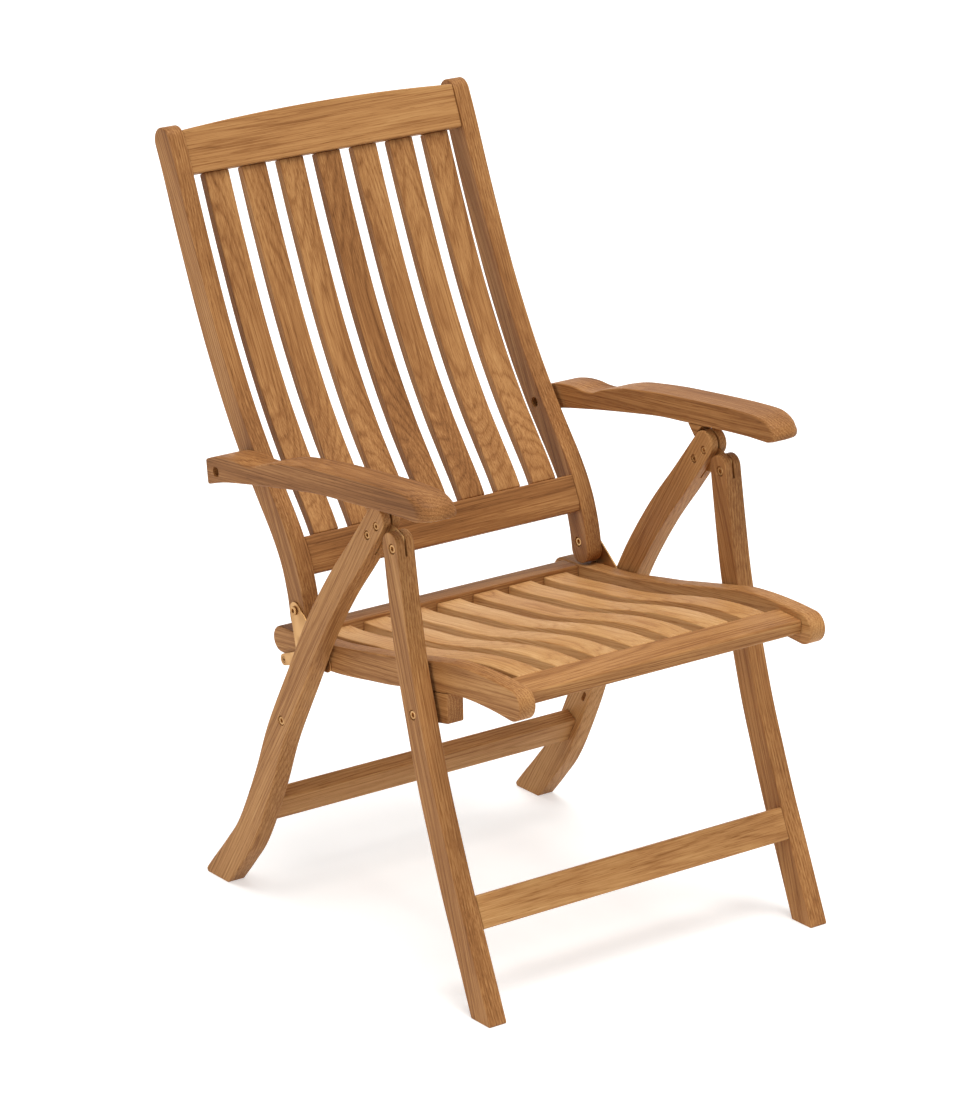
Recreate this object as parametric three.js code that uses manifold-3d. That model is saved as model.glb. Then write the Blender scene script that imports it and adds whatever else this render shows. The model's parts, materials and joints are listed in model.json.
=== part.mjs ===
// Folding teak armchair with a high slatted back, standing open.
// X runs across the chair, negative X on the sitter's right. Y runs from front to back and Z is up.
// Side views are drawn in (Y, Z), with the front foot's toe at Y 0 before the whole chair is centred.

import * as THREE from 'three';
import { mergeVertices } from 'three/addons/utils/BufferGeometryUtils.js';
import Module from 'manifold-3d';

const wasm = await Module();
wasm.setup();

// Overall sizes
const height = 1070;
const legSpread = 577;
const clearance = 0.3;
const overrun = 5;

// Layers from the outside of a leg inwards
const legThickness = 28;
const layerGap = 5.2;
const railThickness = 26;
const plateThickness = 2;

// Legs and their stretchers
const rearLegTopWidth = 38;
const rearLegFootWidth = 46;
const frontLegTopWidth = 34;
const frontLegFootWidth = 41;
const frontStretcherHeight = 45.5;
const frontStretcherThickness = 20;
const rearStretcherHeight = 44;
const rearStretcherThickness = 24;
const stopSlotRadius = 3.5;
const stopSlotLength = 10;
const stopSlotDepth = 8;

// Seat
const seatRailRearWidth = 38;
const seatRailNoseWidth = 44;
const frontRailDepth = 50;
const frontRailThickness = 20;
const frontRailDrop = 9;
const frontRailNoseRadius = 3.5;
const rearRailDepth = 35;
const rearRailThickness = 22;
const rearRailDrop = 1;
const seatSlatThickness = 15;
const pivotBlockDepth = 69;
const pivotBlockDrop = 17.5;

// Slats, seven in the seat and seven in the back
const slatCount = 7;
const slatWidth = 40;

// Back
const stileTopWidth = 40;
const stileFootWidth = 39;
const topRailEndHeight = 63;
const topRailArch = 8;
const topRailThickness = 22;
const topRailRecess = 3;
const lowerRailHeight = 52.5;
const lowerRailThickness = 26;
const lowerRailRecess = 1;
const lowerRailChamferHeight = 14;
const lowerRailChamferDepth = 4;
const backSlatThickness = 15;
const backSlatSetback = 6;

// Arms
const armWidth = 52;
const armInset = 1.5;
const armOuterNoseRadius = 24;
const armInnerNoseRadius = 9;
const armBlockInset = 2;
const armBlockPlay = 0.8;

// Brass
const shankRadius = 3.5;
const headRadius = 6.5;
const headThickness = 3;
const headRecess = 0.5;
const armBoltRecess = 7;
const screwShankRadius = 2.5;
const screwHeadRadius = 5.6;
const spacerRadius = 8;
const hingePlateThickness = 3;
const hingeLugRadius = 9;
const hingePlateNoseRadius = 7.5;
const hingePlateEndRadius = 10.4;
const hingePlateTail = 10;
const slotMargin = 4;
const bracketLugRadius = 12;
const bracketCornerRadius = 11;
const linkHeadRadius = 10;
const linkFootRadius = 9;
const linkRodEndRadius = 8.5;
const tieRodRadius = 5.5;
const tieRodSpigotRadius = 4;

// Legs fold together by this angle
const foldDegrees = 48;
const slotMarginDegrees = 3;

// Centre lines of the curved boards in the side view, as shares of the height, from the top or the rear
const rearLegLineShares = [
  [0.2318, 0.6019], [0.2804, 0.5430], [0.3290, 0.4860], [0.3776, 0.4178], [0.4187, 0.3467], [0.4729, 0.2523],
  [0.5084, 0.1729], [0.5514, 0.0925], [0.5879, 0.0477], [0.6234, 0.0093], [0.6449, -0.0150],
];
const frontLegLineShares = [
  [0.2009, 0.5776], [0.1909, 0.5093], [0.1775, 0.4318], [0.1584, 0.3598], [0.1355, 0.2804], [0.1128, 0.2168],
  [0.0880, 0.1514], [0.0628, 0.0916], [0.0252, 0.0000], [0.0158, -0.0234],
];
const stileLineShares = [
  [0.7496, 0.9794], [0.7337, 0.9421], [0.6988, 0.8542], [0.6524, 0.7486], [0.6069, 0.6626], [0.5670, 0.6000],
  [0.5356, 0.5579], [0.5015, 0.5131], [0.4797, 0.4757], [0.4664, 0.4364], [0.4608, 0.4047],
];
const seatRailLineShares = [
  [0.5028, 0.3649], [0.4673, 0.3659], [0.4168, 0.3692], [0.3776, 0.3722], [0.3374, 0.3779], [0.3047, 0.3835],
  [0.2598, 0.3909], [0.2336, 0.3963], [0.1841, 0.4062], [0.1495, 0.4131], [0.1159, 0.4195], [0.0841, 0.4221],
  [0.0561, 0.4228], [0.0280, 0.4224], [-0.0042, 0.4204],
];

// Top of the seat slats, from the rear rail to the front rail
const seatSlatTopShares = [
  [0.4860, 0.3779], [0.4579, 0.3780], [0.4318, 0.3790], [0.3925, 0.3832], [0.3570, 0.3879], [0.3224, 0.3916],
  [0.2879, 0.3963], [0.2449, 0.4047], [0.2047, 0.4140], [0.1729, 0.4206], [0.1411, 0.4267], [0.0944, 0.4325],
  [0.0430, 0.4351], [0.0224, 0.4358],
];

// Outline of an arm, from the rear end over the top to the nose and back underneath
const armTopShares = [
  [0.5828, 0.6009], [0.5626, 0.6084], [0.5374, 0.6135], [0.5140, 0.6150], [0.4935, 0.6140], [0.4729, 0.6159],
  [0.4486, 0.6252], [0.4112, 0.6360], [0.3720, 0.6425], [0.3271, 0.6486], [0.2850, 0.6528], [0.2299, 0.6579],
  [0.1813, 0.6617], [0.1402, 0.6636], [0.1140, 0.6622], [0.0958, 0.6562], [0.0872, 0.6472], [0.0888, 0.6378],
  [0.1010, 0.6335],
];
const armUnderShares = [
  [0.1402, 0.6327], [0.1813, 0.6299], [0.2336, 0.6252], [0.2804, 0.6210], [0.3280, 0.6164], [0.3963, 0.6056],
  [0.4505, 0.5963], [0.4785, 0.5911], [0.5393, 0.5790], [0.5794, 0.5673],
];
const armBlockShares = [[0.2336, 0.6355], [0.2766, 0.6355], [0.2505, 0.6056], [0.2336, 0.5981]];

// Pivots in the side view, as shares of the height
const hingeShare = [0.1967, 0.5734];
const hingePlateNoseShare = [0.1955, 0.5840];
const plateScrewShares = [[0.2308, 0.5939], [0.2509, 0.5776]];
const seatPivotShare = [0.1598, 0.3673];
const linkFootShare = [0.4598, 0.2720];
const linkHeadShare = [0.4378, 0.3589];
const backPivotShare = [0.4640, 0.4154];
const armPivotShare = [0.5589, 0.5888];
const tieRodPlaceShare = 0.4897;
const bracketFrontShare = [0.3944, 0.3607];
const bracketRearShare = [0.4523, 0.3589];
const stopSlotShare = [0.4937, 0.1797];

// Places along the boards, as shares of each board's length
const frontStretcherPlaceShare = 0.749;
const rearStretcherPlaceShare = 0.7545;
const topRailPlaceShare = 0.0765;
const lowerRailPlaceShare = 0.8825;
const frontRailPlaceShare = 0.957;
const rearRailPlaceShare = 0.045;
const pivotBlockPlaceShare = 0.68;

// Places worked out across the chair
const legOuter = legSpread / 2;
const legInner = legOuter - legThickness;
const legMiddle = (legOuter + legInner) / 2;
const railOuter = legInner - layerGap;
const railInner = railOuter - railThickness;
const bracketOuter = railOuter + clearance + plateThickness;
const linkInner = bracketOuter + clearance;
const linkOuter = linkInner + plateThickness;
const armInner = legInner + armInset;
const armOuter = armInner + armWidth;
const slatPitch = (2 * railInner + slatWidth) / (slatCount + 1);

// Colours of the boards and of the brass
const brassColor = 0xb08d57;
const teakColors = [0xb4814f, 0xae7a48, 0xbb8a58, 0xa97446, 0xc09060, 0xb27d4c, 0xb98552];
let boardsMade = 0;

function teak() {
  boardsMade += 1;
  return new THREE.MeshStandardMaterial({
    color: teakColors[boardsMade % teakColors.length], roughness: 0.62, metalness: 0,
  });
}

function brass() {
  return new THREE.MeshStandardMaterial({ color: brassColor, roughness: 0.35, metalness: 1 });
}

// Points and curves of the side view
const at = (share) => new THREE.Vector2(share[0] * height, share[1] * height);
const curveThrough = (shares) => new THREE.SplineCurve(shares.map(at));
const leftOf = (direction) => new THREE.Vector2(-direction.y, direction.x);

// A board that follows a centre line, with its width running from one end to the other and round ends
function boardOutline(curve, startWidth, endWidth, steps, roundStart, roundEnd) {
  const left = [];
  const right = [];
  for (let i = 0; i <= steps; i += 1) {
    const point = curve.getPointAt(i / steps);
    const normal = leftOf(curve.getTangentAt(i / steps));
    const half = THREE.MathUtils.lerp(startWidth, endWidth, i / steps) / 2;
    left.push(point.clone().addScaledVector(normal, half));
    right.unshift(point.clone().addScaledVector(normal, -half));
  }
  const cap = (centre, from) => {
    const turns = 8;
    const arm = from.clone().sub(centre);
    const arc = [];
    for (let i = 1; i < turns; i += 1) {
      arc.push(arm.clone().rotateAround(new THREE.Vector2(), (-Math.PI * i) / turns).add(centre));
    }
    return arc;
  };
  const end = roundEnd ? cap(curve.getPointAt(1), left[left.length - 1]) : [];
  const start = roundStart ? cap(curve.getPointAt(0), right[right.length - 1]) : [];
  return [...left, ...end, ...right, ...start];
}

// What is left of an outline on the side of a line that its direction points to
function clipped(outline, point, direction) {
  const kept = [];
  outline.forEach((current, i) => {
    const next = outline[(i + 1) % outline.length];
    const a = current.clone().sub(point).dot(direction);
    const b = next.clone().sub(point).dot(direction);
    if (a >= 0) kept.push(current);
    if (a * b < 0) kept.push(current.clone().lerp(next, a / (a - b)));
  });
  return kept;
}

// A rectangle whose long side follows a direction
function section(centre, direction, along, across) {
  const u = direction.clone().multiplyScalar(along / 2);
  const v = leftOf(direction).multiplyScalar(across / 2);
  return [[-1, -1], [1, -1], [1, 1], [-1, 1]].map(([a, b]) => (
    centre.clone().addScaledVector(u, a).addScaledVector(v, b)));
}

// The outline of a tight band round several circles
function band(circles) {
  const steps = 16;
  const points = circles.flatMap(([centre, radius]) => (
    Array.from({ length: steps }, (_, i) => {
      const angle = (2 * Math.PI * i) / steps;
      return new THREE.Vector2(centre.x + radius * Math.cos(angle), centre.y + radius * Math.sin(angle));
    })));
  points.sort((a, b) => a.x - b.x || a.y - b.y);
  const half = (list) => {
    const chain = [];
    for (const point of list) {
      while (chain.length > 1) {
        const a = chain[chain.length - 2];
        const b = chain[chain.length - 1];
        if (b.clone().sub(a).cross(point.clone().sub(b)) > 0) break;
        chain.pop();
      }
      chain.push(point);
    }
    return chain.slice(0, -1);
  };
  return [...half(points), ...half(points.reverse())];
}

// Closed meshes and solids
function closed(geometry) {
  geometry.deleteAttribute('normal');
  geometry.deleteAttribute('uv');
  const merged = mergeVertices(geometry);
  const index = Array.from(merged.index.array);
  const kept = [];
  for (let i = 0; i < index.length; i += 3) {
    const [a, b, c] = index.slice(i, i + 3);
    if (a !== b && b !== c && c !== a) kept.push(a, b, c);
  }
  merged.setIndex(kept);
  return merged;
}

function solidOf(geometry) {
  const mesh = closed(geometry);
  return new wasm.Manifold(new wasm.Mesh({
    numProp: 3,
    vertProperties: new Float32Array(mesh.attributes.position.array),
    triVerts: new Uint32Array(mesh.index.array),
  }));
}

function geometryOf(solid) {
  const { vertProperties, triVerts } = solid.getMesh();
  const geometry = new THREE.BufferGeometry();
  geometry.setAttribute('position', new THREE.BufferAttribute(vertProperties, 3));
  geometry.setIndex(new THREE.BufferAttribute(triVerts, 1));
  geometry.computeVertexNormals();
  return geometry;
}

// Extrudes a side view across the chair, from one distance to another on the given side
function slab(outline, from, to, side) {
  const geometry = new THREE.ExtrudeGeometry(new THREE.Shape(outline), { depth: to - from, bevelEnabled: false });
  geometry.translate(0, 0, side > 0 ? from : -to);
  geometry.applyMatrix4(new THREE.Matrix4().makeBasis(
    new THREE.Vector3(0, 1, 0), new THREE.Vector3(0, 0, 1), new THREE.Vector3(1, 0, 0)));
  return solidOf(geometry);
}

// Turns a stepped pin about an axis across the chair; each step has its radius and the distance it ends at
function pin(centre, start, steps, side) {
  const profile = [[0, start]];
  let from = start;
  for (const [radius, end] of steps) {
    profile.push([radius, from], [radius, end]);
    from = end;
  }
  profile.push([0, from]);
  const points = profile.map(([radius, x]) => new THREE.Vector2(radius, side * x));
  if (side < 0) points.reverse();
  const geometry = new THREE.LatheGeometry(points, 12);
  geometry.rotateZ(-Math.PI / 2);
  geometry.translate(0, centre.x, centre.y);
  return solidOf(geometry);
}

// Places of a headed pin that lies in boards between two faces, and the hole it needs
const seated = (inner, outer, recess = headRecess) => [inner + recess, outer - recess];

function headedPin(centre, inner, outer, shank, head, side) {
  const [start, end] = seated(inner, outer);
  return pin(centre, start, [[head, start + headThickness], [shank, end - headThickness], [head, end]], side);
}

function boreFor(centre, inner, outer, shank, side) {
  return pin(centre, inner - overrun, [[shank + clearance, outer + overrun]], side);
}

function headSeat(centre, face, inward, head, side, recess = headRecess) {
  const bottom = face + inward * (recess + headThickness + clearance);
  const mouth = face - inward * overrun;
  return pin(centre, Math.min(bottom, mouth), [[head + clearance, Math.max(bottom, mouth)]], side);
}

// Every board or fitting is one named mesh in the group of the body it moves with
const chair = new THREE.Group();
const newBody = () => {
  const group = new THREE.Group();
  chair.add(group);
  return group;
};
const rearLegs = newBody();
const frontLegs = newBody();
const seat = newBody();
const links = newBody();
const back = newBody();
const arms = newBody();

function add(body, name, solid, material) {
  const mesh = new THREE.Mesh(geometryOf(solid), material);
  mesh.name = name;
  body.add(mesh);
}

const sides = [['right', -1], ['left', 1]];
const rearLegCurve = curveThrough(rearLegLineShares);
const frontLegCurve = curveThrough(frontLegLineShares);
const stileCurve = curveThrough(stileLineShares);
const seatRailCurve = curveThrough(seatRailLineShares);
const hinge = at(hingeShare);
const seatPivot = at(seatPivotShare);
const linkFoot = at(linkFootShare);
const linkHead = at(linkHeadShare);
const backPivot = at(backPivotShare);
const armPivot = at(armPivotShare);
const up = new THREE.Vector2(0, 1);
const floor = new THREE.Vector2(0, 0);

// Leg outlines, cut flat where they stand
const rearLegOutline = clipped(
  boardOutline(rearLegCurve, rearLegTopWidth, rearLegFootWidth, 22, true, false), floor, up);
const frontLegOutline = clipped(
  boardOutline(frontLegCurve, frontLegTopWidth, frontLegFootWidth, 16, true, false), floor, up);

// Hinge plate between the leg tops and the saw slots it sits in
const rearLegTop = rearLegCurve.getPointAt(0);
const rearLegDown = rearLegCurve.getTangentAt(0.03);
const screws = plateScrewShares.map(at);
const plateTail = screws[1].clone().addScaledVector(rearLegDown, hingePlateTail);
const hingePlateOutline = band([
  [hinge, hingeLugRadius],
  [at(hingePlateNoseShare), hingePlateNoseRadius],
  [screws[0], hingePlateEndRadius],
  [screws[1], hingePlateEndRadius],
  [plateTail, hingePlateEndRadius],
]);
const slotReach = 2 * frontLegFootWidth;
const rearSlotFloor = plateTail.clone().addScaledVector(rearLegDown, hingePlateEndRadius + slotMargin);
const rearSlotOutline = section(
  rearSlotFloor.clone().addScaledVector(rearLegDown, -slotReach), rearLegDown, 2 * slotReach, 2 * slotReach);
const toTail = plateTail.clone().sub(hinge);
const lowerEdgeAngle = toTail.angle() - 2 * Math.PI
  - Math.asin((hingePlateEndRadius - hingeLugRadius) / toTail.length());
const sweep = THREE.MathUtils.degToRad(foldDegrees + slotMarginDegrees) - lowerEdgeAngle;
const lugRoom = hingeLugRadius + clearance;
const slotCorner = hinge.clone().add(new THREE.Vector2(-lugRoom * Math.tan(sweep / 2), -lugRoom));
const sweepEnd = new THREE.Vector2(Math.cos(sweep), -Math.sin(sweep)).multiplyScalar(slotReach).add(slotCorner);
const frontSlotOutline = [
  new THREE.Vector2(hinge.x - slotReach, slotCorner.y), slotCorner, sweepEnd,
  new THREE.Vector2(sweepEnd.x + slotReach, hinge.y + slotReach),
  new THREE.Vector2(hinge.x - slotReach, hinge.y + slotReach),
];
const plateInner = legMiddle - hingePlateThickness / 2;
const plateOuter = legMiddle + hingePlateThickness / 2;

// Legs with their hinge plates, screws and bolts
const stopSlot = at(stopSlotShare);
const stopSlotLine = rearLegCurve.getTangentAt(rearStretcherPlaceShare);
const stopSlotOutline = band([-1, 1].map((end) => [
  stopSlot.clone().addScaledVector(stopSlotLine, (end * stopSlotLength) / 2), stopSlotRadius]));
for (const [suffix, side] of sides) {
  const slotIn = (outline) => slab(outline, plateInner - clearance, plateOuter + clearance, side);
  let rearLeg = slab(rearLegOutline, legInner, legOuter, side).subtract(slotIn(rearSlotOutline));
  let frontLeg = slab(frontLegOutline, legInner, legOuter, side).subtract(slotIn(frontSlotOutline));
  let plate = slab(hingePlateOutline, plateInner, plateOuter, side);
  for (const screw of screws) {
    rearLeg = rearLeg.subtract(boreFor(screw, legInner, legOuter, screwShankRadius, side))
      .subtract(headSeat(screw, legInner, 1, screwHeadRadius, side))
      .subtract(headSeat(screw, legOuter, -1, screwHeadRadius, side));
    plate = plate.subtract(boreFor(screw, legInner, legOuter, screwShankRadius, side));
  }
  rearLeg = rearLeg.subtract(boreFor(linkFoot, legInner, legOuter, shankRadius, side))
    .subtract(headSeat(linkFoot, legInner, 1, headRadius, side))
    .subtract(headSeat(linkFoot, legOuter, -1, headRadius, side))
    .subtract(slab(stopSlotOutline, legInner - overrun, legInner + stopSlotDepth, side));
  for (const bolt of [hinge, seatPivot]) {
    frontLeg = frontLeg.subtract(boreFor(bolt, legInner, legOuter, shankRadius, side))
      .subtract(headSeat(bolt, legOuter, -1, headRadius, side));
  }
  frontLeg = frontLeg.subtract(headSeat(hinge, legInner, 1, headRadius, side));
  plate = plate.subtract(boreFor(hinge, legInner, legOuter, shankRadius, side));
  add(rearLegs, `rear_leg_${suffix}`, rearLeg, teak());
  add(rearLegs, `hinge_plate_${suffix}`, plate, brass());
  screws.forEach((screw, i) => add(rearLegs, `plate_screw_${i ? 'lower' : 'upper'}_${suffix}`,
    headedPin(screw, legInner, legOuter, screwShankRadius, screwHeadRadius, side), brass()));
  add(rearLegs, `link_foot_bolt_${suffix}`,
    headedPin(linkFoot, legInner, legOuter, shankRadius, headRadius, side), brass());
  add(frontLegs, `front_leg_${suffix}`, frontLeg, teak());
  add(frontLegs, `hinge_bolt_${suffix}`,
    headedPin(hinge, legInner, legOuter, shankRadius, headRadius, side), brass());
  add(frontLegs, `seat_bolt_${suffix}`,
    headedPin(seatPivot, railInner, legOuter, shankRadius, headRadius, side), brass());
  add(frontLegs, `seat_spacer_${suffix}`,
    pin(seatPivot, railOuter + clearance, [[spacerRadius, legInner - clearance]], side)
      .subtract(boreFor(seatPivot, railOuter, legInner, shankRadius, side)), brass());
}

// Stretchers, the front one flush with the front edges of its legs
function crossBoard(outline, end) {
  return slab(outline, -end, end, 1);
}
const stretcherEnd = legInner - clearance;
const frontStretcherPoint = frontLegCurve.getPointAt(frontStretcherPlaceShare);
const frontStretcherLine = frontLegCurve.getTangentAt(frontStretcherPlaceShare);
const frontLegWidthThere = THREE.MathUtils.lerp(frontLegTopWidth, frontLegFootWidth, frontStretcherPlaceShare);
const frontStretcherCentre = frontStretcherPoint.clone().addScaledVector(
  leftOf(frontStretcherLine), (frontStretcherThickness - frontLegWidthThere) / 2);
add(frontLegs, 'front_stretcher', crossBoard(section(
  frontStretcherCentre, frontStretcherLine, frontStretcherHeight, frontStretcherThickness), stretcherEnd), teak());
add(rearLegs, 'rear_stretcher', crossBoard(section(
  rearLegCurve.getPointAt(rearStretcherPlaceShare), rearLegCurve.getTangentAt(rearStretcherPlaceShare),
  rearStretcherHeight, rearStretcherThickness), stretcherEnd), teak());

// Seat rails with the blocks that hang from them and the brackets that carry the back
const seatRailOutline = boardOutline(seatRailCurve, seatRailRearWidth, seatRailNoseWidth, 20, true, true);
const seatRailRoom = boardOutline(
  seatRailCurve, seatRailRearWidth + 2 * clearance, seatRailNoseWidth + 2 * clearance, 20, true, true);
const blockTop = seatRailCurve.getPointAt(pivotBlockPlaceShare);
const blockLine = seatRailCurve.getTangentAt(pivotBlockPlaceShare);
const blockSole = (along) => seatPivot.y - pivotBlockDrop + ((along - seatPivot.x) * blockLine.y) / blockLine.x;
const blockFront = seatPivot.x - pivotBlockDepth / 2;
const blockRear = seatPivot.x + pivotBlockDepth / 2;
const pivotBlockOutline = [
  new THREE.Vector2(blockFront, blockSole(blockFront)),
  new THREE.Vector2(blockRear, blockSole(blockRear)),
  new THREE.Vector2(blockRear, blockTop.y - seatRailNoseWidth / 4),
  new THREE.Vector2(blockFront, blockTop.y - seatRailNoseWidth / 4),
];
const bracketOutline = band([
  [backPivot, bracketLugRadius], [at(bracketFrontShare), bracketCornerRadius],
  [at(bracketRearShare), bracketCornerRadius],
]);
for (const [suffix, side] of sides) {
  const shankHole = (centre) => boreFor(centre, railInner, linkOuter, shankRadius, side);
  const rail = slab(seatRailOutline, railInner, railOuter, side).subtract(shankHole(linkHead))
    .subtract(headSeat(linkHead, railInner, 1, headRadius, side));
  const block = slab(pivotBlockOutline, railInner, railOuter, side)
    .subtract(slab(seatRailRoom, railInner - overrun, railOuter + overrun, side)).subtract(shankHole(seatPivot))
    .subtract(headSeat(seatPivot, railInner, 1, headRadius, side));
  const bracket = slab(bracketOutline, railOuter + clearance, bracketOuter, side)
    .subtract(shankHole(backPivot)).subtract(shankHole(linkHead));
  const boltStart = railInner + headRecess;
  add(seat, `seat_rail_${suffix}`, rail, teak());
  add(seat, `pivot_block_${suffix}`, block, teak());
  add(seat, `back_bracket_${suffix}`, bracket, brass());
  add(seat, `link_head_bolt_${suffix}`, pin(linkHead, boltStart,
    [[headRadius, boltStart + headThickness], [shankRadius, linkOuter]], side), brass());
}

// Front and rear rails of the seat between the side rails
const railEnd = railInner - clearance;
function seatCrossRail(placeShare, railWidth, drop, depth, thickness) {
  const line = seatRailCurve.getTangentAt(placeShare);
  const lift = leftOf(line).multiplyScalar(-1);
  const centre = seatRailCurve.getPointAt(placeShare)
    .addScaledVector(lift, (railWidth - thickness) / 2 - drop);
  return { centre, line, lift, outline: section(centre, line, depth, thickness) };
}
const frontRail = seatCrossRail(
  frontRailPlaceShare, seatRailNoseWidth, frontRailDrop, frontRailDepth, frontRailThickness);
const rearRail = seatCrossRail(
  rearRailPlaceShare, seatRailRearWidth, rearRailDrop, rearRailDepth, rearRailThickness);
function roundedFront(rail, depth, thickness, radius) {
  const circles = [-1, 1].flatMap((lift) => [
    [rail.centre.clone().addScaledVector(rail.line, depth / 2 - radius)
      .addScaledVector(rail.lift, lift * (thickness / 2 - radius)), radius],
  ]);
  const rounded = band([...circles, ...rail.outline.slice(0, 1).map((corner) => [corner, 0]),
    ...rail.outline.slice(3).map((corner) => [corner, 0])]);
  return rounded;
}
add(seat, 'seat_front_rail', crossBoard(
  roundedFront(frontRail, frontRailDepth, frontRailThickness, frontRailNoseRadius), railEnd), teak());
add(seat, 'seat_rear_rail', crossBoard(rearRail.outline, railEnd), teak());

// Seat slats, waved along their length and let in between the two rails
const seatSlatCurve = curveThrough(seatSlatTopShares);
const seatSlatSteps = 14;
const slatTop = seatSlatCurve.getSpacedPoints(seatSlatSteps);
const slatUnder = slatTop.map((point, i) => point.clone().addScaledVector(
  leftOf(seatSlatCurve.getTangentAt(i / seatSlatSteps)), seatSlatThickness)).reverse();
const frontRailBack = frontRail.centre.clone().addScaledVector(frontRail.line, -frontRailDepth / 2 - clearance);
const rearRailFront = rearRail.centre.clone().addScaledVector(rearRail.line, rearRailDepth / 2 + clearance);
const seatSlatOutline = clipped(
  clipped([...slatTop, ...slatUnder], frontRailBack, frontRail.line.clone().negate()),
  rearRailFront, rearRail.line);
for (let i = 0; i < slatCount; i += 1) {
  const middle = (i - (slatCount - 1) / 2) * slatPitch;
  add(seat, `seat_slat_${i + 1}`, slab(seatSlatOutline, middle - slatWidth / 2, middle + slatWidth / 2, 1), teak());
}

// Links and the rod that joins them under the rails
const tieRodAlong = tieRodPlaceShare * height;
const seatRailEnd = seatRailCurve.getPointAt(0);
const tieRod = new THREE.Vector2(
  tieRodAlong, seatRailEnd.y - seatRailRearWidth / 2 - clearance - tieRodRadius);
const linkEnd = linkInner - clearance;
for (const [suffix, side] of sides) {
  const arm = (centre, radius) => slab(
    band([[linkHead, linkHeadRadius], [centre, radius]]), linkInner, linkOuter, side);
  const hole = (centre, radius) => boreFor(centre, linkInner, linkOuter, radius, side);
  add(links, `link_${suffix}`, arm(linkFoot, linkFootRadius).add(arm(tieRod, linkRodEndRadius))
    .subtract(hole(linkHead, shankRadius)).subtract(hole(linkFoot, shankRadius))
    .subtract(hole(tieRod, tieRodSpigotRadius)), brass());
}
add(links, 'tie_rod', pin(tieRod, -linkOuter,
  [[tieRodSpigotRadius, -linkEnd], [tieRodRadius, linkEnd], [tieRodSpigotRadius, linkOuter]], 1), brass());

// Back frame
const stileOutline = boardOutline(stileCurve, stileTopWidth, stileFootWidth, 18, true, true);
for (const [suffix, side] of sides) {
  let stile = slab(stileOutline, railInner, railOuter, side);
  for (const [bolt, recess] of [[backPivot, headRecess], [armPivot, armBoltRecess]]) {
    stile = stile.subtract(boreFor(bolt, railInner, railOuter, shankRadius, side))
      .subtract(headSeat(bolt, railInner, 1, headRadius, side, recess));
  }
  const boltStart = railInner + headRecess;
  const pivotHead = bracketOuter + clearance;
  add(back, `stile_${suffix}`, stile, teak());
  add(back, `back_pivot_bolt_${suffix}`, pin(backPivot, boltStart, [[headRadius, boltStart + headThickness],
    [shankRadius, pivotHead], [headRadius, pivotHead + headThickness]], side), brass());
}
const topRailLine = stileCurve.getTangentAt(topRailPlaceShare);
const topRailForward = leftOf(topRailLine).multiplyScalar(-1);
const topRailCentre = stileCurve.getPointAt(topRailPlaceShare)
  .addScaledVector(topRailForward, (stileTopWidth - topRailThickness) / 2 - topRailRecess);
const archSteps = 14;
const topRailShape = new THREE.Shape([
  new THREE.Vector2(-railEnd, 0), new THREE.Vector2(railEnd, 0),
  ...Array.from({ length: archSteps + 1 }, (_, i) => {
    const share = 1 - (2 * i) / archSteps;
    return new THREE.Vector2(share * railEnd, topRailEndHeight + topRailArch * (1 - share * share));
  }),
]);
const topRailGeometry = new THREE.ExtrudeGeometry(topRailShape, { depth: topRailThickness, bevelEnabled: false });
topRailGeometry.translate(0, 0, -topRailThickness / 2);
topRailGeometry.rotateX(Math.PI / 2);
const topRail = new THREE.Mesh(geometryOf(solidOf(topRailGeometry)), teak());
topRail.name = 'top_rail';
topRail.position.set(0, topRailCentre.x, topRailCentre.y);
topRail.rotation.x = -Math.atan2(-topRailLine.x, -topRailLine.y);
back.add(topRail);
const lowerRailLine = stileCurve.getTangentAt(lowerRailPlaceShare);
const lowerRailCentre = stileCurve.getPointAt(lowerRailPlaceShare).addScaledVector(
  leftOf(lowerRailLine), lowerRailRecess - (stileFootWidth - lowerRailThickness) / 2);
const lowerRailForward = leftOf(lowerRailLine).multiplyScalar(-1);
const chamferTop = lowerRailCentre.clone().addScaledVector(lowerRailForward, lowerRailThickness / 2)
  .addScaledVector(lowerRailLine, lowerRailHeight / 2 - lowerRailChamferHeight);
const chamferWay = lowerRailLine.clone().multiplyScalar(-lowerRailChamferDepth)
  .addScaledVector(lowerRailForward, -lowerRailChamferHeight).normalize();
add(back, 'lower_rail', crossBoard(clipped(section(
  lowerRailCentre, lowerRailLine, lowerRailHeight, lowerRailThickness), chamferTop, chamferWay), railEnd), teak());

// Back slats, bent like the stiles and let in between the two rails
const slatForward = stileTopWidth / 2 - topRailRecess - backSlatSetback - backSlatThickness / 2;
const backSlatSteps = 14;
const backSlatPoints = Array.from({ length: backSlatSteps + 1 }, (_, i) => (
  stileCurve.getPointAt(i / backSlatSteps).addScaledVector(
    leftOf(stileCurve.getTangentAt(i / backSlatSteps)), -slatForward)));
const backSlatOutline = clipped(
  clipped(boardOutline(new THREE.SplineCurve(backSlatPoints), backSlatThickness, backSlatThickness,
    backSlatSteps, false, false),
  topRailCentre.clone().addScaledVector(topRailLine, clearance), topRailLine),
  lowerRailCentre.clone().addScaledVector(lowerRailLine, -lowerRailHeight / 2 - clearance),
  lowerRailLine.clone().negate());
for (let i = 0; i < slatCount; i += 1) {
  const middle = (i - (slatCount - 1) / 2) * slatPitch;
  add(back, `back_slat_${i + 1}`, slab(backSlatOutline, middle - slatWidth / 2, middle + slatWidth / 2, 1), teak());
}

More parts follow.
